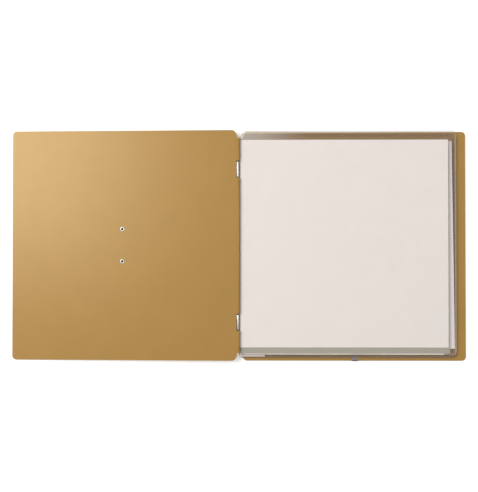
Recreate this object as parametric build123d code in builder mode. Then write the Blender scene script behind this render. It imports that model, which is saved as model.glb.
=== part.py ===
"""A post-bound scrapbook album lying open on a table, in millimetres.

+X runs across the pages to the right, +Y up the pages and +Z up from the table. The origin is
under the middle of the fold: x = 0 is the visible fold line and z = 0 is the back cover's underside.
The front cover is turned back to the left over its hinge and rests on its fore edge. Page 1 is the
top page. Every page is a clear pocket that turns about one shared line beside the hinge.
"""

import os
from math import asin, cos, degrees, radians, sin

from build123d import *

os.makedirs("parts", exist_ok=True)

# Covers, of pressed leather board
BOARD = 2.0
COVER_HEIGHT = 337.0
COVER_REACH = 334.0  # from the fold line to a fore edge
BACK_DROP = 1.2  # how far the back cover's page part hangs below the front cover
BACK_FOLD = 4.5  # where the back cover's shoulders start
FRONT_FOLD = -0.5  # where the front cover's shoulders start, from the hinge axis
FORE_EDGE_GAP = 0.02  # between the opened front cover's fore edge and the table
FORE_CORNER = 6.0
BINDING_HEIGHT = 315.0
SHOULDER_WIDTH = 6.6  # how far the pages' side is set in at its top and bottom
SHOULDER_BULGE = 2.0  # how far the shoulder bows out of the straight line across it

# Binding strips and the screw posts through them
STRIP_LEFT = -34.0
STRIP_RIGHT = -6.6
STRIP_CORNER = 2.0
SPACER = 1.1
POST_X = -20.0
LOWER_POST_Y = -112.5
MIDDLE_POST_Y = -0.6
UPPER_POST_Y = 111.3
POST_YS = (LOWER_POST_Y, MIDDLE_POST_Y, UPPER_POST_Y)
STRAP_YS = (LOWER_POST_Y, UPPER_POST_Y)
POST_RADIUS = 2.5
POST_BORE_RADIUS = 1.8
POST_HEAD_RADIUS = 4.8
POST_HEAD = 0.9
SCREW_RADIUS = 1.75
SCREW_START = 2.6
SLOT_WIDTH = 1.0
SLOT_DEPTH = 0.5
SLOT_OVERRUN = 1.0  # past the head, so that the slot's cut is open at both ends
BARREL_SET = 0.15  # how far a tube ends below the front strip's face
HOLE_GAP = 0.1  # all round a post
RECESS_DEPTH = 1.2
RECESS_GAP = 0.3

# Pages: clear pockets, 12 inch sheets
PAGE_COUNT = 5
FILM = 0.2
SHEET = 0.25
CARD = 0.35
PLAY = 0.05  # above and below everything that slides
SHEET_SIDE = 304.8
POCKET_LEFT = 2.0
POCKET_RIGHT = 319.0
POCKET_TOP = 168.2
POCKET_BOTTOM = -160.0
POCKET_CORNER = 4.0
POCKET_CUT = 1.0  # across the lower left corner
POCKET_SHOULDER = 11.0  # height of the rounded upper left corner
SHOULDER_BEND = (1.9, 4.4)  # a point on it, right of the left edge and below the top edge
FRONT_FILM_SET = 2.5  # how far a front film's open edge lies below its back film's
PAGE_DROPS = (0.0, 2.9, 4.4, 5.4, 3.4)  # how far each page hangs below page 1
MARGIN_LEFT = -32.0
MARGIN_RIGHT = 0.5
MARGIN_HEIGHT = 314.0
SEAM_LEFT = 0.6
SEAM_RIGHT = 2.0
SEAM_BOTTOM = 1.2
SEAM_START = 12.0  # below the pocket's top, at the left
SEAM_INNER_CUT = 2.0
# (x, y, turn in degrees) of the middle of each page's sheet
SHEET_PLACES = (
    (155.05, 2.7, 0.0),
    (162.5, -1.2, 0.75),
    (157.2, -5.2, 0.0),
    (158.4, -5.2, -0.2),
    (157.0, -4.6, 0.1),
)
CARD_PLACE = (155.6, -6.35, 0.0)

# Hinge
ROD_RADIUS = 1.0
ROD_LENGTH = 315.0
ROD_CHAMFER = 0.3
CURL_BORE = 1.02  # bore radius of the cover's curled edge
CURL_END = 160.0  # direction in which the curl ends, in degrees from the cover's plane
CURL_CUT = 8.0  # reach of the cut that opens the curl
KNUCKLE_BORE = 1.03
STRAP_METAL = 0.6
STRAP_WIDTH = 21.5
STRAP_END = -27.0
STRAP_CORNER = 3.0
KNUCKLE_END = 225.0  # direction in which the knuckle ends, in degrees
KNUCKLE_CUT = 6.0  # reach of the cut that opens the knuckle
AXIS_X = -1.5
NOTCH_HEIGHT = 25.0
NOTCH_DEPTH = 4.5

# Motion
TURN_X = 1.2  # the line that the pages turn about
TURN_GAP = 0.35  # between a turned page 1 and the fold under it
INSERT_TRAVEL = 330.0  # along +Y, which takes a sheet clear of its pocket

# Closure: a woven strap on the back cover, a riveted keeper on the front cover
WEB_WIDTH = 9.0
WEB = 0.8
WEB_X = 171.3
WEB_TOP = 55.0
CHANNEL_WIDTH = 9.6
CHANNEL_DEPTH = 1.0
CHANNEL_TOP = -130.0
CHANNEL_PLAY = 0.1  # between the strap and the channel's roof
CHANNEL_END_PLAY = 1.0
WEB_BEND = 0.72  # radius at the two corners of the strap's wrap
RIVET_X = -169.3  # along the front cover, from the hinge axis
RIVET_PITCH = 23.8
RIVET_RADIUS = 2.0
RIVET_BORE = 1.4
RIVET_FLANGE_RADIUS = 3.6
RIVET_FLANGE = 0.5
KEEPER = 1.0
KEEPER_WIDTH = 16.0
KEEPER_LENGTH = 62.0
KEEPER_CORNER = 4.0
BRIDGE_LENGTH = 9.0
BRIDGE_SPAN = 13.0
BRIDGE_RISE = 2.2
BRIDGE_WALL = 0.8

# Heights worked out from the layers
spacer_top = BOARD + SPACER
plain_page = 2 * FILM + SHEET + 2 * PLAY
thick_page = plain_page + CARD + PLAY
page_depths = [thick_page] + [plain_page] * (PAGE_COUNT - 1)
page_bottoms = [0.0] * PAGE_COUNT
level = spacer_top
for i in reversed(range(PAGE_COUNT)):
    page_bottoms[i] = level
    level += page_depths[i] + 2 * PLAY
strip_bottom = level
strip_top = strip_bottom + BOARD
strap_top = strip_top + STRAP_METAL
curl_radius = CURL_BORE + BOARD
knuckle_radius = KNUCKLE_BORE + STRAP_METAL
AXIS_Z = strip_top + knuckle_radius
cover_length = COVER_REACH + AXIS_X
TURN_Z = (page_bottoms[0] + PLAY + thick_page + AXIS_Z + curl_radius + TURN_GAP) / 2
rest_slope = asin((AXIS_Z + CURL_BORE - FORE_EDGE_GAP) / cover_length)
half_height = COVER_HEIGHT / 2
back_top = half_height - BACK_DROP
back_bottom = -half_height - BACK_DROP
half_binding = BINDING_HEIGHT / 2

# The front cover's own frame: +X towards the hinge along the board, +Z out of its inner face
along = (cos(rest_slope), 0, sin(rest_slope))
cover_plane = Plane(
    origin=(AXIS_X, 0, AXIS_Z), x_dir=along, z_dir=(-sin(rest_slope), 0, cos(rest_slope))
)
cover_side = Plane(origin=(AXIS_X, 0, AXIS_Z), x_dir=along, z_dir=(0, -1, 0))
hinge_side = Plane(origin=(AXIS_X, 0, AXIS_Z), x_dir=(1, 0, 0), z_dir=(0, -1, 0))


def save(part, name):
    """Labels a finished piece and writes it as its own file."""
    part.label = name
    export_step(part, f"parts/{name}.step")


def shouldered_outline(spine, fold, fore, top, bottom, narrow):
    """A sheet that is narrow at the spine, widens in a bowed shoulder after fold and ends at fore."""
    side = 1 if fore > fold else -1
    wide = fold + side * SHOULDER_WIDTH
    half = (fold + wide) / 2 - side * SHOULDER_BULGE
    lift = SHOULDER_BULGE / 2
    upper = (half, (narrow + top) / 2 + lift)
    lower = (half, (bottom - narrow) / 2 - lift)
    with BuildLine() as outline:
        Line((spine, -narrow), (spine, narrow))
        Line((spine, narrow), (fold, narrow))
        ThreePointArc((fold, narrow), upper, (wide, top))
        Line((wide, top), (fore, top))
        Line((fore, top), (fore, bottom))
        Line((fore, bottom), (wide, bottom))
        ThreePointArc((wide, bottom), lower, (fold, -narrow))
        Line((fold, -narrow), (spine, -narrow))
    return outline.line


def fore_corners(sketch, side):
    """The two corners of an outline that lie furthest along +X, or -X where side is below 0."""
    corners = sketch.vertices().sort_by(Axis.X)
    return corners[-2:] if side > 0 else corners[:2]


# Back cover, with recesses for the post heads and a channel for the strap's glued end
with BuildPart() as back_cover:
    with BuildSketch() as back_outline:
        with BuildLine():
            add(
                shouldered_outline(
                    STRIP_LEFT, BACK_FOLD, COVER_REACH, back_top, back_bottom, half_binding
                )
            )
        make_face()
        fillet(fore_corners(back_outline, 1), FORE_CORNER)
    extrude(amount=BOARD)
    with Locations(*[(POST_X, y, BOARD) for y in POST_YS]):
        Hole(POST_RADIUS + HOLE_GAP)
    with BuildSketch() as head_recesses:
        with Locations(*[(POST_X, y) for y in POST_YS]):
            Circle(POST_HEAD_RADIUS + RECESS_GAP)
    extrude(amount=RECESS_DEPTH, mode=Mode.SUBTRACT)
    with BuildSketch() as channel:
        with Locations((WEB_X, (CHANNEL_TOP + back_bottom) / 2)):
            Rectangle(CHANNEL_WIDTH, CHANNEL_TOP - back_bottom)
    extrude(amount=CHANNEL_DEPTH, mode=Mode.SUBTRACT)
save(back_cover.part, "back_cover")

# The two strips that clamp the pages' margins, one under them and one over them
for name, bottom, thickness in (
    ("spacer_strip", BOARD, SPACER),
    ("front_strip", strip_bottom, BOARD),
):
    with BuildPart() as strip:
        with BuildSketch(Plane.XY.offset(bottom)):
            with Locations(((STRIP_LEFT + STRIP_RIGHT) / 2, 0)):
                RectangleRounded(STRIP_RIGHT - STRIP_LEFT, BINDING_HEIGHT, STRIP_CORNER)
            with Locations(*[(POST_X, y) for y in POST_YS]):
                Circle(POST_RADIUS + HOLE_GAP, mode=Mode.SUBTRACT)
        extrude(amount=thickness)
    save(strip.part, name)

# Screw posts: headed tubes from below, slotted screws from above
with BuildPart() as post_barrels:
    with BuildSketch(Plane.XY.offset(RECESS_DEPTH - POST_HEAD)):
        with Locations(*[(POST_X, y) for y in POST_YS]):
            Circle(POST_HEAD_RADIUS)
    extrude(amount=POST_HEAD)
    with BuildSketch(Plane.XY.offset(RECESS_DEPTH)):
        with Locations(*[(POST_X, y) for y in POST_YS]):
            Circle(POST_RADIUS)
            Circle(POST_BORE_RADIUS, mode=Mode.SUBTRACT)
    extrude(amount=strip_top - BARREL_SET - RECESS_DEPTH)
save(post_barrels.part, "post_barrels")

with BuildPart() as post_screws:
    for y in POST_YS:
        seat = strap_top if y in STRAP_YS else strip_top
        with BuildSketch(Plane.XY.offset(SCREW_START)):
            with Locations((POST_X, y)):
                Circle(SCREW_RADIUS)
        extrude(amount=seat - SCREW_START)
        with BuildSketch(Plane.XY.offset(seat)):
            with Locations((POST_X, y)):
                Circle(POST_HEAD_RADIUS)
        extrude(amount=POST_HEAD)
        with BuildSketch(Plane.XY.offset(seat + POST_HEAD - SLOT_DEPTH)):
            with Locations((POST_X, y)):
                Rectangle(2 * POST_HEAD_RADIUS + SLOT_OVERRUN, SLOT_WIDTH)
        extrude(amount=SLOT_DEPTH, mode=Mode.SUBTRACT)
save(post_screws.part, "post_screws")

# Metal hinge straps: a flat leaf under the post's screw, curled round the rod
knuckle_cut = (
    KNUCKLE_CUT * cos(radians(KNUCKLE_END)),
    KNUCKLE_CUT * sin(radians(KNUCKLE_END)),
)
for name, y in (("upper_hinge_strap", UPPER_POST_Y), ("lower_hinge_strap", LOWER_POST_Y)):
    with BuildPart() as hinge_strap:
        with BuildSketch(hinge_side.offset(-y)):
            Circle(knuckle_radius)
            Circle(KNUCKLE_BORE, mode=Mode.SUBTRACT)
            with BuildLine():
                Polyline((0, 0), knuckle_cut, (0, -KNUCKLE_CUT), close=True)
            make_face(mode=Mode.SUBTRACT)
            with Locations(((STRAP_END - AXIS_X) / 2, -(KNUCKLE_BORE + knuckle_radius) / 2)):
                Rectangle(AXIS_X - STRAP_END, STRAP_METAL)
        extrude(amount=STRAP_WIDTH / 2, both=True)
        with Locations((POST_X, y, strap_top)):
            Hole(POST_RADIUS + HOLE_GAP)
        leaf_end = hinge_strap.edges().filter_by(Axis.Z).sort_by(Axis.X)[:2]
        fillet(leaf_end, STRAP_CORNER)
    save(hinge_strap.part, name)

with BuildPart() as hinge_rod:
    with BuildSketch(hinge_side):
        Circle(ROD_RADIUS)
    extrude(amount=ROD_LENGTH / 2, both=True)
    chamfer(hinge_rod.edges().filter_by(GeomType.CIRCLE), ROD_CHAMFER)
save(hinge_rod.part, "hinge_rod")

# Front cover: a board whose hinge edge is curled round the rod, notched where the straps pass
curl_cut = (CURL_CUT * cos(radians(CURL_END)), CURL_CUT * sin(radians(CURL_END)))
with BuildPart() as front_cover:
    with BuildSketch(cover_plane.offset(CURL_BORE)) as front_outline:
        with BuildLine():
            add(
                shouldered_outline(
                    0, FRONT_FOLD, -cover_length, half_height, -half_height, half_binding
                )
            )
        make_face()
        fillet(fore_corners(front_outline, -1), FORE_CORNER)
    extrude(amount=BOARD)
    with BuildSketch(cover_side):
        Circle(curl_radius)
        Circle(CURL_BORE, mode=Mode.SUBTRACT)
        with BuildLine():
            Polyline((0, 0), (0, CURL_CUT), (-CURL_CUT, CURL_CUT), curl_cut, close=True)
        make_face(mode=Mode.SUBTRACT)
    extrude(amount=half_binding, both=True)
    with BuildSketch(cover_plane.offset(CURL_BORE)):
        with Locations(*[(curl_radius, y) for y in STRAP_YS]):
            Rectangle(2 * NOTCH_DEPTH, NOTCH_HEIGHT)
    extrude(amount=2 * curl_radius, mode=Mode.SUBTRACT)
    with BuildSketch(cover_plane.offset(CURL_BORE)):
        with Locations(*[(0, y) for y in STRAP_YS]):
            Rectangle(3 * curl_radius, NOTCH_HEIGHT)
    extrude(amount=-3 * curl_radius, mode=Mode.SUBTRACT)
    with BuildSketch(cover_plane):
        with Locations(*[(RIVET_X, y) for y in (-RIVET_PITCH, RIVET_PITCH)]):
            Circle(RIVET_RADIUS + HOLE_GAP)
    extrude(amount=2 * curl_radius, mode=Mode.SUBTRACT)
save(front_cover.part, "front_cover")

# Two semi-tubular rivets: a closed head on the keeper, a tube clenched over on the inner face
keeper_face = CURL_BORE - KEEPER
with BuildPart() as cover_rivets:
    for start, depth, radius in (
        (keeper_face - RIVET_FLANGE, RIVET_FLANGE, RIVET_FLANGE_RADIUS),
        (keeper_face, KEEPER + BOARD, RIVET_RADIUS),
        (curl_radius, RIVET_FLANGE, RIVET_FLANGE_RADIUS),
    ):
        with BuildSketch(cover_plane.offset(start)):
            with Locations(*[(RIVET_X, y) for y in (-RIVET_PITCH, RIVET_PITCH)]):
                Circle(radius)
        extrude(amount=depth)
    with BuildSketch(cover_plane.offset(keeper_face)):
        with Locations(*[(RIVET_X, y) for y in (-RIVET_PITCH, RIVET_PITCH)]):
            Circle(RIVET_BORE)
    extrude(amount=KEEPER + BOARD + RIVET_FLANGE, mode=Mode.SUBTRACT)
save(cover_rivets.part, "cover_rivets")

# Keeper: a plate on the cover's outer face with a raised bridge that the strap passes under
with BuildPart() as strap_keeper:
    with BuildSketch(cover_plane.offset(keeper_face)):
        with Locations((RIVET_X, 0)):
            RectangleRounded(KEEPER_WIDTH, KEEPER_LENGTH, KEEPER_CORNER)
            Rectangle(BRIDGE_SPAN - 2 * BRIDGE_WALL, BRIDGE_LENGTH, mode=Mode.SUBTRACT)
        with Locations(*[(RIVET_X, y) for y in (-RIVET_PITCH, RIVET_PITCH)]):
            Circle(RIVET_RADIUS + HOLE_GAP, mode=Mode.SUBTRACT)
    extrude(amount=KEEPER)
    with BuildSketch(cover_plane.offset(keeper_face - BRIDGE_RISE)):
        with Locations((RIVET_X, 0)):
            Rectangle(BRIDGE_SPAN, BRIDGE_LENGTH)
    extrude(amount=BRIDGE_RISE)
    with BuildSketch(cover_plane.offset(keeper_face - BRIDGE_RISE + BRIDGE_WALL)):
        with Locations((RIVET_X, 0)):
            Rectangle(BRIDGE_SPAN - 2 * BRIDGE_WALL, BRIDGE_LENGTH)
    extrude(amount=BRIDGE_RISE, mode=Mode.SUBTRACT)
save(strap_keeper.part, "strap_keeper")

# Closure strap: glued in the channel, round the bottom edge and up under the pages
web_low = CHANNEL_DEPTH - WEB - CHANNEL_PLAY
web_start = CHANNEL_TOP - CHANNEL_END_PLAY
with BuildPart() as closure_strap:
    with BuildSketch(Plane.YZ.offset(WEB_X)) as web_side:
        with BuildLine():
            Polyline(
                (web_start, web_low),
                (back_bottom - WEB, web_low),
                (back_bottom - WEB, BOARD + WEB),
                (WEB_TOP, BOARD + WEB),
                (WEB_TOP, BOARD),
                (back_bottom, BOARD),
                (back_bottom, web_low + WEB),
                (web_start, web_low + WEB),
                close=True,
            )
        make_face()
        fillet(web_side.vertices().sort_by(Axis.Y)[:2], WEB_BEND)
    extrude(amount=WEB_WIDTH / 2, both=True)
save(closure_strap.part, "closure_strap")


# Pages, from the top one down
for i in range(PAGE_COUNT):
    page = f"page_{i + 1}"
    bottom = page_bottoms[i] + PLAY
    depth = page_depths[i]
    drop = PAGE_DROPS[i]
    low = POCKET_BOTTOM - drop
    high = POCKET_TOP - drop

    # punched margin, clamped by the posts
    with BuildPart() as margin:
        with BuildSketch(Plane.XY.offset(page_bottoms[i])):
            with Locations(((MARGIN_LEFT + MARGIN_RIGHT) / 2, 0)):
                Rectangle(MARGIN_RIGHT - MARGIN_LEFT, MARGIN_HEIGHT)
            with Locations(*[(POST_X, y) for y in POST_YS]):
                Circle(POST_RADIUS + HOLE_GAP, mode=Mode.SUBTRACT)
        extrude(amount=depth + 2 * PLAY)
    save(margin.part, f"{page}_margin")

    # the two films, open along the top, where the front one is cut lower
    cut = (POCKET_LEFT + POCKET_CUT, low)
    cut_end = (POCKET_LEFT, low + POCKET_CUT)
    for name, film_bottom, film_top in (
        (f"{page}_back_film", bottom, high),
        (f"{page}_front_film", bottom + depth - FILM, high - FRONT_FILM_SET),
    ):
        shoulder = (POCKET_LEFT, film_top - POCKET_SHOULDER)
        bend = (POCKET_LEFT + SHOULDER_BEND[0], film_top - SHOULDER_BEND[1])
        shoulder_end = (POCKET_LEFT + SHOULDER_WIDTH, film_top)
        with BuildPart() as film:
            with BuildSketch(Plane.XY.offset(film_bottom)) as film_outline:
                with BuildLine():
                    Line(cut_end, shoulder)
                    ThreePointArc(shoulder, bend, shoulder_end)
                    Line(shoulder_end, (POCKET_RIGHT, film_top))
                    Line((POCKET_RIGHT, film_top), (POCKET_RIGHT, low))
                    Line((POCKET_RIGHT, low), cut)
                    Line(cut, cut_end)
                make_face()
                fillet(fore_corners(film_outline, 1), POCKET_CORNER)
            extrude(amount=FILM)
        save(film.part, name)

    # the welded rim between the films: left, bottom and right
    seam_top = high - FRONT_FILM_SET - POCKET_CORNER
    inner_left = POCKET_LEFT + SEAM_LEFT
    inner_right = POCKET_RIGHT - SEAM_RIGHT
    inner_low = low + SEAM_BOTTOM
    with BuildPart() as seam:
        with BuildSketch(Plane.XY.offset(bottom + FILM)):
            with BuildLine():
                Polyline(
                    (POCKET_LEFT, high - FRONT_FILM_SET - SEAM_START),
                    cut_end,
                    cut,
                    (POCKET_RIGHT - POCKET_CORNER, low),
                    (POCKET_RIGHT, low + POCKET_CORNER),
                    (POCKET_RIGHT, seam_top),
                    (inner_right, seam_top),
                    (inner_right, inner_low + SEAM_INNER_CUT),
                    (inner_right - SEAM_INNER_CUT, inner_low),
                    (inner_left, inner_low),
                    (inner_left, high - FRONT_FILM_SET - SEAM_START),
                    close=True,
                )
            make_face()
        extrude(amount=depth - 2 * FILM)
    save(seam.part, f"{page}_seam")

    # what the pocket holds: a sheet in every page, and a backing card in the top one
    inserts = [(f"{page}_sheet", SHEET_PLACES[i], bottom + depth - FILM - PLAY - SHEET, SHEET)]
    if i == 0:
        inserts.append((f"{page}_card", CARD_PLACE, bottom + FILM + PLAY, CARD))
    for name, (x, y, turn), insert_bottom, thickness in inserts:
        with BuildPart() as insert:
            with BuildSketch(Plane.XY.offset(insert_bottom)):
                with Locations((x, y)):
                    Rectangle(SHEET_SIDE, SHEET_SIDE, rotation=turn)
            extrude(amount=thickness)
        save(insert.part, name)

closing = 180 + degrees(rest_slope)
print(f"front cover hinge at x {AXIS_X:.3f}, z {AXIS_Z:.3f}, closes by {closing:.3f} degrees")
print(f"pages turn by 180 degrees about x {TURN_X:.3f}, z {TURN_Z:.3f}")
print(f"sheets slide by {INSERT_TRAVEL:.0f} along +Y")
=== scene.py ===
"""A post-bound scrapbook album, open on a pale table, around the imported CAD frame.

Lengths are written in millimetres and turned into metres by MM where a mesh is made.
"""

from math import asin, cos, pi, radians, sin
import bpy
from mathutils import Matrix, Vector


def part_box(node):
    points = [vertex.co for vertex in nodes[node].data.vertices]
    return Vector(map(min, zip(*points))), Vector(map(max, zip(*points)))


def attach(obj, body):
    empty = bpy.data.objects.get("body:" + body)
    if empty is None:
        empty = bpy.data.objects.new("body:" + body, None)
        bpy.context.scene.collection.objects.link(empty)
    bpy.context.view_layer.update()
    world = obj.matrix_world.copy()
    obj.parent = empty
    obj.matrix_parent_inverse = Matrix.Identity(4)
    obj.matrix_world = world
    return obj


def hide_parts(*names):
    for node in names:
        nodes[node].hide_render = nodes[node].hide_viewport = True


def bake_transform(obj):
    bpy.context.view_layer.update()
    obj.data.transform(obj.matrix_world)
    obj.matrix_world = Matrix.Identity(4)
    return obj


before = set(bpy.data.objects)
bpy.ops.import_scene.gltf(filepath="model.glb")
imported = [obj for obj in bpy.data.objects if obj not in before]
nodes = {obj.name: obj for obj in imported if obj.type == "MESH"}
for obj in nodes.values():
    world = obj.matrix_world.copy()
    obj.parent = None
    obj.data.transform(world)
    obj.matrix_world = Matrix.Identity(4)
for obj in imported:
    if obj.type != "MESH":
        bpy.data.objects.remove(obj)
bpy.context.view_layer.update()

MM = 0.001
scene = bpy.context.scene

# ---------------------------------------------------------------- camera, lights and floor
CAMERA_PLACE = Vector((0.0086, -0.0160, 1.15))
CAMERA_TARGET = Vector((0.0006, -0.0010, 0.0))
LENS = 56.95  # mm, on a 36 mm sensor


def look_at(place, target):
    """A matrix at place that looks at target with +Y up in the picture."""
    back = (place - target).normalized()
    right = Vector((0, 1, 0)).cross(back).normalized()
    up = back.cross(right)
    matrix = Matrix((right, up, back)).transposed().to_4x4()
    matrix.translation = place
    return matrix


camera_data = bpy.data.cameras.new("camera")
camera_data.lens = LENS
camera = bpy.data.objects.new("camera", camera_data)
camera.matrix_world = look_at(CAMERA_PLACE, CAMERA_TARGET)
scene.collection.objects.link(camera)
scene.camera = camera
scene.cycles.transparent_max_bounces = 96
scene.view_settings.view_transform = "Standard"


def area_light(name, place, target, size, power, colour):
    """A square soft light that faces target."""
    data = bpy.data.lights.new(name, "AREA")
    data.size = size
    data.energy = power
    data.color = colour
    light = bpy.data.objects.new(name, data)
    light.matrix_world = look_at(Vector(place), Vector(target))
    scene.collection.objects.link(light)


WARM_WHITE = (1.0, 0.98, 0.95)
COOL_WHITE = (0.97, 0.985, 1.0)
area_light(
    "key", place=(-1.03, 0.44, 1.72), target=(-0.05, 0, 0), size=0.9, power=25.7, colour=WARM_WHITE
)
area_light(
    "fill", place=(1.5, 0.1, 1.2), target=(0.1, 0, 0), size=0.9, power=6, colour=COOL_WHITE
)

world = bpy.data.worlds.new("studio")
world.use_nodes = True
background = world.node_tree.nodes["Background"]
background.inputs["Color"].default_value = (*COOL_WHITE, 1)
background.inputs["Strength"].default_value = 0.45
scene.world = world


# ---------------------------------------------------------------- materials
class Material:
    """A node material under construction."""

    def __init__(self, name):
        self.material = bpy.data.materials.new(name)
        self.material.use_nodes = True
        self.tree = self.material.node_tree
        self.tree.nodes.clear()
        self.output = self.tree.nodes.new("ShaderNodeOutputMaterial")
        coordinates = self.tree.nodes.new("ShaderNodeTexCoord")
        self.place = coordinates.outputs["Object"]
        self.normal = coordinates.outputs["Normal"]

    def node(self, kind, inputs=None, **settings):
        """A node with its settings and inputs; an input that is a socket is linked."""
        made = self.tree.nodes.new("ShaderNode" + kind)
        for key, value in settings.items():
            setattr(made, key, value)
        for key, value in (inputs or {}).items():
            if isinstance(value, bpy.types.NodeSocket):
                self.tree.links.new(value, made.inputs[key])
            else:
                made.inputs[key].default_value = value
        return made

    def math(self, operation, *values):
        """The result of a Math node."""
        made = self.node("Math", operation=operation)
        for i, value in enumerate(values):
            if isinstance(value, bpy.types.NodeSocket):
                self.tree.links.new(value, made.inputs[i])
            else:
                made.inputs[i].default_value = value
        return made.outputs[0]

    def noise(self, scale, detail=2.0, stretch=(1, 1, 1), roughness=0.5):
        """Noise in object space, scale in features per metre."""
        mapping = self.node("Mapping", {"Vector": self.place, "Scale": stretch})
        made = self.node(
            "TexNoise",
            {"Vector": mapping.outputs[0], "Scale": scale, "Detail": detail, "Roughness": roughness},
        )
        return made.outputs["Fac"]

    def ramp(self, fac, stops):
        """A colour ramp through (position, colour) stops."""
        made = self.node("ValToRGB", {"Fac": fac})
        elements = made.color_ramp.elements
        while len(elements) < len(stops):
            elements.new(0.5)
        for element, (position, colour) in zip(elements, stops):
            element.position = position
            element.color = (*colour, 1)
        return made.outputs["Color"]

    def blend(self, fac, a, b):
        """Colour a where fac is 0 and b where it is 1."""
        made = self.node("Mix", data_type="RGBA")
        for key, value in ((0, fac), (6, a), (7, b)):
            if isinstance(value, bpy.types.NodeSocket):
                self.tree.links.new(value, made.inputs[key])
            else:
                made.inputs[key].default_value = value if key == 0 else (*value, 1)
        return made.outputs[2]

    def rise(self, value, start, end, low=0.0, high=1.0):
        """A smooth step of a value, from low at start to high at end."""
        made = self.node("MapRange", interpolation_type="SMOOTHSTEP")
        self.tree.links.new(value, made.inputs["Value"])
        for key, number in (
            ("From Min", start), ("From Max", end), ("To Min", low), ("To Max", high)
        ):
            made.inputs[key].default_value = number
        return made.outputs[0]

    def bump(self, height, distance, strength=1.0, normal=None):
        """A normal bent by height, distance in metres."""
        inputs = {"Height": height, "Distance": distance, "Strength": strength}
        if normal is not None:
            inputs["Normal"] = normal
        return self.node("Bump", inputs).outputs["Normal"]

    def principled(self, **inputs):
        """The surface as one Principled shader."""
        named = {key.replace("_", " "): value for key, value in inputs.items()}
        shader = self.node("BsdfPrincipled", named)
        self.surface(shader.outputs[0])
        return self.material

    def surface(self, socket):
        """Links a shader to the output."""
        self.tree.links.new(socket, self.output.inputs["Surface"])


def board_material(name, face, edge):
    """Pressed leather board: satin, faintly mottled, with darker fibrous cut edges."""
    m = Material(name)
    mottle = m.noise(26, 4, roughness=0.6)
    cloud = m.noise(7, 2)
    fibre = m.noise(900, 3, (1.0, 0.35, 1.0), 0.7)
    pores = m.noise(2600, 2)
    dark = tuple(c * 0.965 for c in face)
    light = tuple(min(1, c * 1.025) for c in face)
    tone = m.ramp(mottle, ((0.3, dark), (0.5, face), (0.7, light)))
    tone = m.blend(m.math("MULTIPLY", cloud, 0.12), tone, tuple(c * 0.9 for c in face))
    tone = m.blend(m.math("MULTIPLY", fibre, 0.16), tone, tuple(c * 0.78 for c in face))
    split = m.node("SeparateXYZ", {"Vector": m.normal})
    spot = m.node("SeparateXYZ", {"Vector": m.place})
    along_edge = m.math("GREATER_THAN", m.math("ABSOLUTE", split.outputs["Y"]), 0.6)
    outer = m.math("GREATER_THAN", m.math("ABSOLUTE", spot.outputs["X"]), 0.03)
    fore_edge = m.math("GREATER_THAN", m.math("ABSOLUTE", split.outputs["X"]), 0.6)
    cut = m.math("MAXIMUM", along_edge, m.math("MULTIPLY", outer, fore_edge))
    layers = m.noise(400, 3, (1, 1, 9), 0.7)
    edge_tone = m.ramp(layers, ((0.3, tuple(c * 0.7 for c in edge)), (0.7, edge)))
    colour = m.blend(cut, tone, edge_tone)
    rough = m.math("ADD", m.math("MULTIPLY", pores, 0.12), 0.27)
    rough = m.math("ADD", rough, m.math("MULTIPLY", cut, 0.3))
    grain = m.bump(fibre, 0.00006, 0.5)
    normal = m.bump(pores, 0.00004, 0.4, grain)
    return m.principled(
        Base_Color=colour,
        Roughness=rough,
        Normal=normal,
        Specular_IOR_Level=0.6,
        Specular_Tint=(1.0, 0.82, 0.55, 1),
    )


def metal_material(name, colour, roughness, scratch, stretch):
    """Brushed or plated metal."""
    m = Material(name)
    brushing = m.noise(1500, 3, stretch, 0.7)
    stain = m.noise(90, 3)
    tone = m.ramp(stain, ((0.35, tuple(c * 0.86 for c in colour)), (0.65, colour)))
    rough = m.math("ADD", m.math("MULTIPLY", brushing, scratch), roughness)
    normal = m.bump(brushing, 0.00002, 0.35)
    return m.principled(Base_Color=tone, Metallic=1.0, Roughness=rough, Normal=normal)


def film_material(
    name, haze, tint, body, gloss_roughness, streaks=0.0, facing_gloss=0.004, painted_shadow_and_whitening=None
):
    """Clear plastic: mostly see-through, a little haze, and gloss that grows towards grazing.

    painted_shadow_and_whitening adds a whitening veil and the painted shadow of a bend to it: a
    function of the material that gives both.
    """
    m = Material(name)
    wave = m.noise(16, 2, (1.0, 2.2, 1.0))
    fine = m.noise(130, 2, (1.0, 0.3, 1.0))
    normal = m.bump(wave, 0.0011, 0.5)
    normal = m.bump(fine, 0.00005, 0.3, normal)
    # the see-through part is tinted darker where the painted shadow falls
    if painted_shadow_and_whitening:
        extra, shade = painted_shadow_and_whitening(m)
        haze = m.math("ADD", extra, haze)
        clear = m.node("BsdfTransparent", {"Color": m.blend(shade, tint, PAINTED_BEND_SHADOW)})
    else:
        clear = m.node("BsdfTransparent", {"Color": (*tint, 1)})
    milk = m.node("BsdfDiffuse", {"Color": (*body, 1), "Roughness": 0.5})
    cloud = m.noise(55, 3, (0.25, 1.6, 1.0), 0.65)
    veil = m.math("ADD", haze, m.math("MULTIPLY", cloud, streaks))
    mixed = m.node("MixShader", {0: veil, 1: clear.outputs[0], 2: milk.outputs[0]})
    shine = m.node(
        "BsdfGlossy", {"Color": (1, 1, 1, 1), "Roughness": gloss_roughness, "Normal": normal}
    )
    facing = m.node("LayerWeight", {"Blend": 0.5, "Normal": normal}).outputs["Facing"]
    grazing = m.math("MULTIPLY", m.math("POWER", facing, 4.0), 0.8)
    gloss = m.math("ADD", grazing, facing_gloss)
    both = m.node("MixShader", {0: gloss, 1: mixed.outputs[0], 2: shine.outputs[0]})
    m.surface(both.outputs[0])
    return m.material
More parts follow.
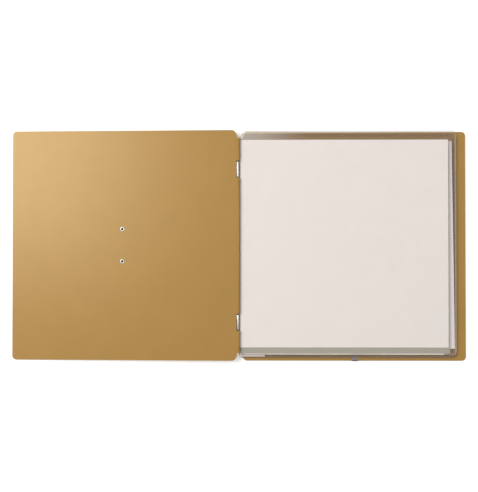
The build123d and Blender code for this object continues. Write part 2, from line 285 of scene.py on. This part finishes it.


# Page 1's whitening and painted shadow, with their places in metres
PAINTED_BEND_SHADOW = (0.878, 0.868, 0.878)  # painted shadow: what each face of the film lets through where it bends off page 1's sheet
VEIL_REACH = 0.13  # how far from the fold the film is whitened
VEIL_FADE = 1.7  # the power by which the whitening fades
VEIL_EDGE = (0.1545, 0.1555)  # where it starts, at the top edge of page 1's sheet
VEIL_MOST = 0.42
SHEET_TOP = (0.1540, 0.1520)  # the painted shadow fades out here, near the ends of page 2's sheet
SHEET_BOTTOM = (-0.1540, -0.1500)
PAINTED_SHADOW_START = (0.3072, 0.3078)  # at the right edge of page 1's sheet
PAINTED_SHADOW_END = (0.3135, 0.3085)
LIP_FADE = (0.40, 0.05)  # the lip whitens from the first of these to the second
LIP_MOST = 0.7


def page_whitening_and_painted_shadow(m):
    """Page 1's front film: whiter towards the fold and its top, with a painted shadow where it bends
    off the sheet.
    """
    spot = m.node("SeparateXYZ", {"Vector": m.place})
    x, y = spot.outputs["X"], spot.outputs["Y"]
    near_fold = m.math("POWER", m.rise(x, VEIL_REACH, 0.0), VEIL_FADE)
    near_top = m.rise(y, *VEIL_EDGE, 0.0, VEIL_MOST)
    on_sheet = m.math("MULTIPLY", m.rise(y, *SHEET_TOP), m.rise(y, *SHEET_BOTTOM))
    # painted shadow: darker where page 1's film bends off its sheet, in place of the shadow cast on
    # page 2's sheet
    bend = m.math("MULTIPLY", m.rise(x, *PAINTED_SHADOW_START), m.rise(x, *PAINTED_SHADOW_END))
    return m.math("MULTIPLY", near_fold, near_top), m.math("MULTIPLY", bend, on_sheet)


def whitened(m):
    """The lip of page 1's front film: the same whitening and painted shadow, whiter still towards the
    fold.
    """
    veil, shade = page_whitening_and_painted_shadow(m)
    spot = m.node("SeparateXYZ", {"Vector": m.place})
    return m.math("ADD", veil, m.rise(spot.outputs["X"], *LIP_FADE, 0.0, LIP_MOST)), shade


def paper_material(name, colour, fleck, fleck_amount, fibre_amount):
    """Uncoated paper or card with pulp fibres and faint recycled flecks."""
    m = Material(name)
    pulp = m.noise(340, 4, (1.0, 1.5, 1.0), 0.65)
    cloud = m.noise(34, 3)
    specks = m.noise(620, 1, (0.8, 1.0, 1.0))
    tone = m.ramp(cloud, ((0.3, tuple(c * 0.982 for c in colour)), (0.7, colour)))
    tone = m.blend(m.math("MULTIPLY", pulp, fibre_amount), tone, tuple(c * 0.8 for c in colour))
    dots = m.math("MULTIPLY", m.math("GREATER_THAN", specks, 0.71), fleck_amount)
    tone = m.blend(dots, tone, fleck)
    normal = m.bump(pulp, 0.00005, 0.5)
    return m.principled(
        Base_Color=tone, Roughness=0.86, Normal=normal, Specular_IOR_Level=0.3
    )


WEB_UNDERSIDE = (-0.1676, -0.1692)  # m, along y, where the strap darkens as it turns under


def web_material(name, colour):
    """Woven flat webbing: ribs across the length, finer threads along it."""
    m = Material(name)
    across = m.node(
        "TexWave",
        {"Vector": m.place, "Scale": 260.0, "Distortion": 1.2, "Detail": 1.0, "Detail Scale": 3.0},
        wave_type="BANDS",
        bands_direction="Y",
    ).outputs["Fac"]
    along = m.node(
        "TexWave",
        {"Vector": m.place, "Scale": 330.0, "Distortion": 0.8, "Detail": 1.0, "Detail Scale": 2.0},
        wave_type="BANDS",
        bands_direction="X",
    ).outputs["Fac"]
    weave = m.math("MULTIPLY", across, along)
    fuzz = m.noise(3000, 2)
    tone = m.ramp(
        weave,
        (
            (0.0, tuple(c * 0.55 for c in colour)),
            (0.35, colour),
            (1.0, tuple(c * 1.2 for c in colour)),
        ),
    )
    tone = m.blend(m.math("MULTIPLY", fuzz, 0.25), tone, tuple(c * 0.7 for c in colour))
    # the underside of its wrap round the cover's edge gets little light
    spot = m.node("SeparateXYZ", {"Vector": m.place})
    under = m.rise(spot.outputs["Y"], *WEB_UNDERSIDE)
    tone = m.blend(under, tone, tuple(c * 0.22 for c in colour))
    normal = m.bump(weave, 0.00025, 0.8)
    return m.principled(
        Base_Color=tone, Roughness=0.9, Normal=normal, Specular_IOR_Level=0.25, Sheen_Weight=0.25
    )


TAN = (0.405, 0.228, 0.060)
TAN_EDGE = (0.22, 0.15, 0.075)
EVEN = (1.0, 1.0, 1.0)
cover_board = board_material("cover_leather_board", TAN, TAN_EDGE)
binding_board = board_material("binding_leather_board", (0.365, 0.205, 0.055), TAN_EDGE)

nickel = metal_material(
    "satin_nickel", (0.86, 0.84, 0.80), roughness=0.24, scratch=0.16, stretch=(1.0, 0.2, 1.0)
)
eyelet_metal = metal_material(
    "eyelet_nickel", (0.60, 0.55, 0.49), roughness=0.36, scratch=0.12, stretch=EVEN
)
# painted shade: the bore is lined with near-black metal for the dark, shaded hole
eyelet_bore_painted_shade = metal_material(
    "eyelet_bore_painted_shade", (0.06, 0.05, 0.045), roughness=0.6, scratch=0.12, stretch=EVEN
)
rod_steel = metal_material(
    "rod_steel", (0.20, 0.19, 0.185), roughness=0.34, scratch=0.14, stretch=(1.0, 0.15, 1.0)
)
aluminium = metal_material(
    "turned_aluminium", (0.80, 0.80, 0.79), roughness=0.28, scratch=0.12, stretch=(1.0, 1.0, 0.2)
)

FILM_TINT = (0.95, 0.94, 0.92)
film_clear = film_material(
    "clear_film", haze=0.001, tint=(0.997, 0.997, 0.996), body=(0.50, 0.48, 0.46),
    gloss_roughness=0.12, streaks=0.004,
)
film_top = film_material(
    "clear_film_top", haze=0.004, tint=(0.99, 0.99, 0.988), body=(0.72, 0.66, 0.58),
    gloss_roughness=0.10, streaks=0.012, facing_gloss=0.022, painted_shadow_and_whitening=page_whitening_and_painted_shadow,
)
film_lip = film_material(
    "clear_film_lip", haze=0.05, tint=(0.95, 0.93, 0.90), body=(0.76, 0.66, 0.53),
    gloss_roughness=0.2, streaks=0.08, facing_gloss=0.02, painted_shadow_and_whitening=whitened,
)
film_edge = film_material(
    "clear_film_edge", haze=0.07, tint=FILM_TINT, body=(0.42, 0.36, 0.30), gloss_roughness=0.3
)
film_hem = film_material(
    "clear_film_hem", haze=0.36, tint=(0.86, 0.84, 0.81), body=(0.44, 0.38, 0.31),
    gloss_roughness=0.3,
)
film_weld = film_material(
    "welded_film", haze=0.92, tint=FILM_TINT, body=(0.97, 0.93, 0.88),
    gloss_roughness=0.25, streaks=0.06,
)
film_fold = film_material(
    "folded_film", haze=0.08, tint=(0.90, 0.885, 0.86), body=(0.50, 0.44, 0.37),
    gloss_roughness=0.2, streaks=0.16,
)
# painted highlight: a whiter copy of the folded film for page 1's fore-edge rim, in place of light
# caught along the welded rim
film_rim_painted_highlight = film_material(
    "rim_film_painted_highlight", haze=0.26, tint=FILM_TINT, body=(0.62, 0.53, 0.43),
    gloss_roughness=0.2, streaks=0.30, facing_gloss=0.02,
)
# painted highlight: near-white film for the streak of light on page 1's bent corner
film_painted_highlight = film_material(
    "painted_highlight_film", haze=0.80, tint=(0.95, 0.95, 0.94), body=(0.86, 0.83, 0.79),
    gloss_roughness=0.25,
)
film_margin = film_material(
    "margin_film", haze=0.30, tint=(0.88, 0.87, 0.85), body=(0.45, 0.42, 0.38),
    gloss_roughness=0.28, streaks=0.1,
)
film_crease = film_material(
    "crease_film", haze=0.85, tint=(0.90, 0.88, 0.86), body=(0.60, 0.50, 0.42),
    gloss_roughness=0.25,
)

white_paper = paper_material(
    "white_paper", (0.895, 0.825, 0.788), fleck=(0.45, 0.43, 0.42), fleck_amount=0.35,
    fibre_amount=0.10,
)
grey_card = paper_material(
    "grey_card", (0.445, 0.415, 0.350), fleck=(0.20, 0.19, 0.17), fleck_amount=0.5,
    fibre_amount=0.32,
)
strap_web = web_material("grey_webbing", (0.40, 0.36, 0.35))


# ---------------------------------------------------------------- floor
floor_material = Material("pale_floor")
floor_tone = floor_material.ramp(
    floor_material.noise(3, 2), ((0.3, (0.93, 0.93, 0.93)), (0.7, (0.95, 0.95, 0.95)))
)
floor_finish = floor_material.principled(
    Base_Color=floor_tone,
    Roughness=0.9,
    Specular_IOR_Level=0.1,
    Emission_Color=(1, 1, 1, 1),
    Emission_Strength=0.3,
)
FLOOR_HALF = 6.0  # m
FLOOR_Z = -0.0001  # m, just under the covers
FLOOR_CORNERS = ((-1, -1), (1, -1), (1, 1), (-1, 1))
floor_mesh = bpy.data.meshes.new("floor")
floor_mesh.from_pydata(
    [(x * FLOOR_HALF, y * FLOOR_HALF, FLOOR_Z) for x, y in FLOOR_CORNERS],
    [],
    [(0, 1, 2, 3)],
)
floor_mesh.materials.append(floor_finish)
floor = bpy.data.objects.new("floor", floor_mesh)
scene.collection.objects.link(floor)


# ---------------------------------------------------------------- mesh helpers
SHARP_ANGLE = 35  # degrees


def new_piece(name, points, faces, material, body, replaced=(), edge=None, edge_faces=()):
    """A mesh piece, given in millimetres, riding on a body unless that is None.

    edge is a second material, for the faces whose numbers are in edge_faces.
    """
    mesh = bpy.data.meshes.new(name)
    mesh.from_pydata([tuple(c * MM for c in p) for p in points], [], faces)
    mesh.validate()
    mesh.materials.append(material)
    if edge is not None:
        mesh.materials.append(edge)
        for i in edge_faces:
            mesh.polygons[i].material_index = 1
    mesh.shade_smooth()
    mesh.set_sharp_from_angle(angle=radians(SHARP_ANGLE))
    obj = bpy.data.objects.new(name, mesh)
    scene.collection.objects.link(obj)
    if body is not None:
        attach(obj, body)
    if replaced:
        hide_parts(*replaced)
    return obj


def slab(rows, low, high):
    """A closed plate. rows holds lists of (x, y); low and high give the two heights at a point."""
    count = len(rows[0])
    points = [(x, y, high(x, y)) for row in rows for x, y in row]
    points += [(x, y, low(x, y)) for row in rows for x, y in row]
    under = len(rows) * count
    faces = []
    for r in range(len(rows) - 1):
        for c in range(count - 1):
            a = r * count + c
            faces.append((a, a + 1, a + count + 1, a + count))
            faces.append((under + a, under + a + count, under + a + count + 1, under + a + 1))
    border = list(range(count))
    border += [r * count + count - 1 for r in range(1, len(rows))]
    border += [(len(rows) - 1) * count + c for c in range(count - 2, -1, -1)]
    border += [r * count for r in range(len(rows) - 2, 0, -1)]
    edge_faces = []
    for i, a in enumerate(border):
        b = border[(i + 1) % len(border)]
        edge_faces.append(len(faces))
        faces.append((a, under + a, under + b, b))
    return points, faces, edge_faces


def spread(start, end, count, ends=1.0):
    """count + 1 values from start to end, closer together near both ends where ends is over 1."""
    values = []
    for i in range(count + 1):
        t = i / count
        eased = (1 - cos(pi * t)) / 2
        t = t + (eased - t) * (ends - 1)
        values.append(start + (end - start) * t)
    return values


def step(a, b, value):
    """Smooth rise from 0 at a to 1 at b."""
    t = max(0.0, min(1.0, (value - a) / (b - a)))
    return t * t * (3 - 2 * t)


def ripple(x, y):
    """How far every layer of the page stack stands off flat, the same for all of them."""
    away = step(10, 90, x)
    wave = 0.17 * sin(x / 47 + 0.6) * sin(y / 61 + 1.1) + 0.08 * sin(x / 23 - y / 37)
    top = step(110, 169, y) * (0.20 + 0.09 * sin(x / 21 + 0.4))
    right = step(250, 319, x) * (0.12 + 0.08 * sin(y / 27))
    return away * (wave + top + right)


# ---------------------------------------------------------------- pages
PAGES = 5
SHOULDER = 6.6  # how far a film's rounded upper left corner is set in
SHOULDER_DROP = 11.0  # its height
CORNER = 4.0  # radius of a film's right corners
SEAM = {"left": 0.6, "right": 2.0, "bottom": 1.2}  # width of the weld on each side
SEAM_START = 12.0  # how far below the open edge the weld starts, at the left
CUT = 1.0  # across the weld's lower left corner
MARGIN_END = 0.5  # right end of the punched margin
MARGIN_HALF = 157.0  # half of its height
SHEET_HALF = 152.4  # half of a 12 inch sheet
SHEET_TURNS = (0.0, 0.75, 0.0, -0.2, 0.1)  # degrees
FORE_RISE = (0.34, 0.24, 0.14, 0.05, 0.0)  # how far each page's fore edge springs up
EDGE_LOOKS = {(1, "front"): film_lip, (1, "back"): film_hem}  # the other pages' edges are alike
BEAD = 0.9  # width of the cut, slightly curled band along a film's open edge
WELD_ENDS = (301.5, 36.0, 0.0, 0.0, 0.0)  # how far along each page's rim the weld is white
CREASE_HALF = 0.3  # half of a crease's thickness
CREASE_DIP = 0.25  # how far it hangs between its ends
ACROSS = 44  # cells across a film or a sheet
UP = 40  # cells up a film's straight edge
CORNER_STEPS = 6
SHOULDER_STEPS = 14
SEAM_CORNER_STEPS = 8
CREASE_CELLS = (20, 60)  # across and along a crease
SPRING = (200, 319)  # where, along x, the pages' spring grows to its full height


def corners(node):
    """The lowest and highest corner of a CAD node, in millimetres."""
    return [tuple(c / MM for c in corner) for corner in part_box(node)]


def pocket_left(y, left, high):
    """Left end of a film at height y, round its bowed shoulder."""
    t = min(1.0, max(0.0, (y - (high - SHOULDER_DROP)) / SHOULDER_DROP))
    return left + SHOULDER * (1 - (1 - t * t) ** 0.5)


def pocket_right(y, right, low, high):
    """Right end of a film at height y, round its corners."""
    depth = min(CORNER, max(low + CORNER - y, y - (high - CORNER), 0.0))
    return right - CORNER + (CORNER * CORNER - depth * depth) ** 0.5


def film_rows(left, right, low, high):
    """The points of a film, row by row from the bottom."""
    quarter = pi / 2
    ys = [low + CORNER * (1 - cos(quarter * i / CORNER_STEPS)) for i in range(CORNER_STEPS)]
    ys += spread(low + CORNER, high - SHOULDER_DROP, UP)
    # the bead's rows take the place of the shoulder's last two
    ys += [
        high - SHOULDER_DROP * cos(quarter * i / SHOULDER_STEPS) for i in range(1, SHOULDER_STEPS - 1)
    ]
    ys += [high - BEAD, high - BEAD / 2, high]
    rows = []
    for y in ys:
        start = pocket_left(y, left, high)
        end = pocket_right(y, right, low, high)
        rows.append([(x, y) for x in spread(start, end, ACROSS)])
    return rows


def insert_rows(middle, turn):
    """The points of a square sheet, turned about its middle."""
    c, s = cos(radians(turn)), sin(radians(turn))
    x, y = middle
    steps = spread(-SHEET_HALF, SHEET_HALF, ACROSS)
    return [[(x + u * c - v * s, y + u * s + v * c) for u in steps] for v in steps]


def seam_outline(left, right, low, high):
    """Outer and inner points of the welded rim, from the top left round to the top right."""
    outer, inner = [], []
    for y in spread(high - SEAM_START, low + CUT, UP):
        outer.append((left, y))
        inner.append((left + SEAM["left"], max(y, low + SEAM["bottom"])))
    for x in spread(left + CUT, right - CORNER, ACROSS):
        outer.append((x, low))
        inner.append((x, low + SEAM["bottom"]))
    reach = CORNER - SEAM["right"]
    inner_low = low + SEAM["bottom"]
    for i in range(1, SEAM_CORNER_STEPS + 1):
        angle = pi / 2 * i / SEAM_CORNER_STEPS
        outer.append((right - CORNER + CORNER * sin(angle), low + CORNER - CORNER * cos(angle)))
        inner.append((right - CORNER + reach * sin(angle), inner_low + reach - reach * cos(angle)))
    for y in spread(low + CORNER, high - CORNER, UP)[1:]:
        outer.append((right, y))
        inner.append((right - SEAM["right"], y))
    return outer, inner


for k in range(1, PAGES + 1):
    page = f"page_{k}"
    (left, low, back_low), (right, high, back_high) = corners(f"{page}_back_film")
    (_, _, front_low), (_, front_edge, front_high) = corners(f"{page}_front_film")

    def lifted(height, k=k):
        """A height that follows the page's own spring and the ripple of the whole stack."""
        rise = FORE_RISE[k - 1]
        return lambda x, y: height + ripple(x, y) + rise * step(*SPRING, x)

    for side, edge_y, z0, z1 in (
        ("back", high, back_low, back_high),
        ("front", front_edge, front_low, front_high),
    ):
        rows = film_rows(left, right, low, edge_y)
        points, faces, rim = slab(rows, lifted(z0), lifted(z1))
        bead_low = edge_y - BEAD - 0.01
        bead = [i for i, face in enumerate(faces) if min(points[j][1] for j in face) > bead_low]
        clear = film_top if k == 1 and side == "front" else film_clear
        new_piece(
            f"{page}_{side}_sleeve", points, faces, clear, page,
            (f"{page}_{side}_film",), EDGE_LOOKS.get((k, side), film_edge),
            sorted(set(rim) | set(bead)),
        )

    (_, _, z0), (_, _, z1) = corners(f"{page}_seam")
    outer, inner = seam_outline(left, right, low, front_edge)
    points, faces, _ = slab([inner, outer], lifted(z0), lifted(z1))
    faces = [tuple(reversed(face)) for face in faces]
    weld_end = WELD_ENDS[k - 1]
    fore = [
        i for i, face in enumerate(faces) if sum(points[j][0] for j in face) / len(face) > weld_end
    ]
    # page 1's fore-edge rim takes the painted highlight, the other pages the plain folded film
    new_piece(
        f"{page}_weld", points, faces, film_weld, page, (f"{page}_seam",),
        film_rim_painted_highlight if k == 1 else film_fold, fore,
    )

    inserts = [(f"{page}_sheet", f"{page}_paper", SHEET_TURNS[k - 1], white_paper, "white_paper")]
    if k == 1:
        inserts.append(("page_1_card", "page_1_backing", 0.0, grey_card, "grey_card"))
    for node, name, turn, material, slot_name in inserts:
        (x0, y0, z0), (x1, y1, z1) = corners(node)
        rows = insert_rows(((x0 + x1) / 2, (y0 + y1) / 2), turn)
        points, faces, _ = slab(rows, lifted(z0), lifted(z1))
        new_piece(name, points, faces, material, node, (node,))

    # the crease between the margin and the pocket, bent where the page turns
    middle = (back_low + front_high) / 2
    rows = []
    for v in spread(-1, 1, CREASE_CELLS[1]):
        row = []
        for x in spread(MARGIN_END, left, CREASE_CELLS[0]):
            t = (x - MARGIN_END) / (left - MARGIN_END)
            bottom_end = -MARGIN_HALF + (low + CUT + MARGIN_HALF) * t
            top_end = MARGIN_HALF + (front_edge - SHOULDER_DROP - MARGIN_HALF) * t
            row.append((x, bottom_end + (top_end - bottom_end) * (v + 1) / 2))
        rows.append(row)

    def crease_face(offset, middle=middle, left=left):
        """A face of the crease, which hangs a little between its two ends."""
        return lambda x, y: middle + offset - CREASE_DIP * sin(
            pi * (x - MARGIN_END) / (left - MARGIN_END)
        )

    points, faces, _ = slab(rows, crease_face(-CREASE_HALF), crease_face(CREASE_HALF))
    crease = new_piece(f"{page}_crease", points, faces, film_crease, None)
    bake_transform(crease)

# a painted highlight: a near-white curve where page 1's front film bends round its upper left corner
STREAK_X, STREAK_Y = 4.4, 155.6  # its lower end
STREAK_RISE = 9.0
STREAK_LEAN = 0.7
STREAK_BOW = 3.9
STREAK_WIDTHS = (0.25, 1.15)  # its least width, and how much its middle adds at most
STREAK_SLANT = 0.25
STREAK_THICK = 0.06
STREAK_STEPS = 12
streak = []
for i in range(STREAK_STEPS + 1):
    t = i / STREAK_STEPS
    x = STREAK_X + STREAK_BOW * t * t + STREAK_LEAN * t
    y = STREAK_Y + STREAK_RISE * t
    width = STREAK_WIDTHS[0] + STREAK_WIDTHS[1] * sin(pi * min(1.0, 0.12 + 0.8 * t))
    streak.append([(x + width * u, y - STREAK_SLANT * width * u) for u in (0, 0.25, 0.5, 0.75, 1)])
film_face = corners("page_1_front_film")[1][2]
points, faces, _ = slab(streak, lambda x, y: film_face, lambda x, y: film_face + STREAK_THICK)
new_piece("page_1_corner_painted_highlight", points, faces, film_painted_highlight, "page_1")


# ---------------------------------------------------------------- eyelets and the strap
(rod_left, _, _), (rod_right, _, rod_top) = corners("hinge_rod")
ROD_RADIUS = 1.0
CURL_BORE = 1.02  # the cover's face is level with the bore of its curled edge
KEEPER_PLATE = 1.0
KEEPER_FACE = CURL_BORE - KEEPER_PLATE
COVER_LENGTH = 332.5  # from the hinge's axis to the fore edge
FORE_EDGE_GAP = 0.02  # between the fore edge and the table
RIVET_ALONG = -169.3  # from the hinge's axis
RIVET_Y = 23.8  # how far each rivet is from the middle
axis_x = (rod_left + rod_right) / 2
axis_z = rod_top - ROD_RADIUS
slope = asin((axis_z + CURL_BORE - FORE_EDGE_GAP) / COVER_LENGTH)


def on_cover(u, y, h):
    """A point u along the front cover from the hinge, at height h over the hinge's plane."""
    return (axis_x + u * cos(slope) - h * sin(slope), y, axis_z + u * sin(slope) + h * cos(slope))


# (radius, height over the keeper's outer face) down a semi-tubular rivet: its blind bore, its
# clenched rim, its shank and its domed head
RIM = (
    (0.0, 0.58), (0.7, 0.58), (1.25, 0.64), (1.42, 0.88), (1.42, 1.88), (1.44, 2.78),
    (1.50, 3.08), (1.68, 3.30), (2.00, 3.44), (2.40, 3.49), (2.80, 3.45), (3.15, 3.33),
    (3.42, 3.18), (3.56, 3.08), (3.56, 3.01), (3.40, 3.00), (2.00, 3.00), (2.00, 0.00),
    (3.40, 0.00), (3.58, -0.02), (3.58, -0.12), (3.40, -0.28), (2.90, -0.40), (2.00, -0.47),
    (1.00, -0.50), (0.0, -0.50),
)
BORE_RINGS = 5  # the first rings of RIM, which line the bore
TURNS = 48
ring = RIM[1:-1]
points, faces, bore = [], [], []
for y0 in (-RIVET_Y, RIVET_Y):
    bore_end = len(points)
    points.append(on_cover(RIVET_ALONG, y0, KEEPER_FACE + RIM[0][1]))
    head_end = len(points)
    points.append(on_cover(RIVET_ALONG, y0, KEEPER_FACE + RIM[-1][1]))
    first = len(points)
    for i in range(TURNS):
        angle = 2 * pi * i / TURNS
        for radius, height in ring:
            u, y = RIVET_ALONG + radius * cos(angle), y0 + radius * sin(angle)
            points.append(on_cover(u, y, KEEPER_FACE + height))
    for i in range(TURNS):
        here = first + i * len(ring)
        there = first + (i + 1) % TURNS * len(ring)
        bore += range(len(faces), len(faces) + BORE_RINGS)
        faces.append((bore_end, here, there))
        for j in range(len(ring) - 1):
            faces.append((here + j, here + j + 1, there + j + 1, there + j))
        faces.append((head_end, there + len(ring) - 1, here + len(ring) - 1))
new_piece(
    "cover_eyelets", points, faces, eyelet_metal, "front_cover", ("cover_rivets",),
    eyelet_bore_painted_shade, bore,
)

WEB_X = 171.3
WEB_HALF = 4.5
WEB_THICK = 0.8
WEB_LOW_Z = 0.5
WEB_HIGH_Z = 2.4
WEB_FOLD_Y = -169.15
WEB_START_Y = -131.0
WEB_END_Y = 55.0
RIBS = 9
RIB_CELLS = 4
RIB_DEPTH = 0.12  # of the strap's thickness
SELVEDGE = 0.06  # share of its half width that thins towards an edge
SELVEDGE_THINNING = 0.7
TURN_STEPS = 16
UNDER_STEPS = 16
TOP_STEPS = 80
bend = (WEB_HIGH_Z - WEB_LOW_Z) / 2
route = [(y, WEB_LOW_Z, -1.0, 0.0) for y in spread(WEB_START_Y, WEB_FOLD_Y, UNDER_STEPS)]
for i in range(1, TURN_STEPS):
    angle = pi * i / TURN_STEPS
    route.append(
        (
            WEB_FOLD_Y - bend * sin(angle),
            WEB_LOW_Z + bend - bend * cos(angle),
            -cos(angle),
            sin(angle),
        )
    )
route += [(y, WEB_HIGH_Z, 1.0, 0.0) for y in spread(WEB_FOLD_Y, WEB_END_Y, TOP_STEPS)]
section = []
for i in range(RIBS * RIB_CELLS + 1):
    u = -1 + 2 * i / (RIBS * RIB_CELLS)
    thick = WEB_THICK / 2 * (1 - RIB_DEPTH * (1 - cos(2 * pi * RIBS * (u + 1) / 2)) / 2)
    thick *= 1 - max(0.0, abs(u) - (1 - SELVEDGE)) / SELVEDGE * SELVEDGE_THINNING
    section.append((u * WEB_HALF, thick))
loop = section + [(u, -t) for u, t in reversed(section)]
points, faces = [], []
for y, z, ty, tz in route:
    for u, t in loop:
        points.append((WEB_X + u, y - tz * t, z + ty * t))
size = len(loop)
for i in range(len(route) - 1):
    for j in range(size):
        a = i * size + j
        b = i * size + (j + 1) % size
        faces.append((a, b, b + size, a + size))
faces.append(tuple(reversed(range(size))))
faces.append(tuple((len(route) - 1) * size + j for j in range(size)))
new_piece("woven_strap", points, faces, strap_web, "root", ("closure_strap",))


# ---------------------------------------------------------------- finishes of the CAD nodes
WELD_DISTANCE = 0.000002  # m
BEVEL_ANGLE = 50  # degrees


def finish_node(name, material, bevel=None):
    """Gives a carried-over CAD node its material and softened edges, bevel in millimetres."""
    obj = nodes[name]
    for slot in obj.material_slots:
        slot.material = material
    if bevel:
        weld = obj.modifiers.new("weld", "WELD")
        weld.merge_threshold = WELD_DISTANCE
        soft = obj.modifiers.new("soft_edges", "BEVEL")
        soft.width = bevel * MM
        soft.segments = 3
        soft.limit_method = "ANGLE"
        soft.angle_limit = radians(BEVEL_ANGLE)


for name in ("front_cover", "back_cover", "front_strip"):
    finish_node(name, cover_board, 0.35)
finish_node("spacer_strip", binding_board, 0.2)
finish_node("hinge_rod", rod_steel)
for name in ("upper_hinge_strap", "lower_hinge_strap", "strap_keeper"):
    finish_node(name, nickel, 0.15)
for name in ("post_barrels", "post_screws"):
    finish_node(name, aluminium, 0.15)
for k in range(1, PAGES + 1):
    finish_node(f"page_{k}_margin", film_margin)
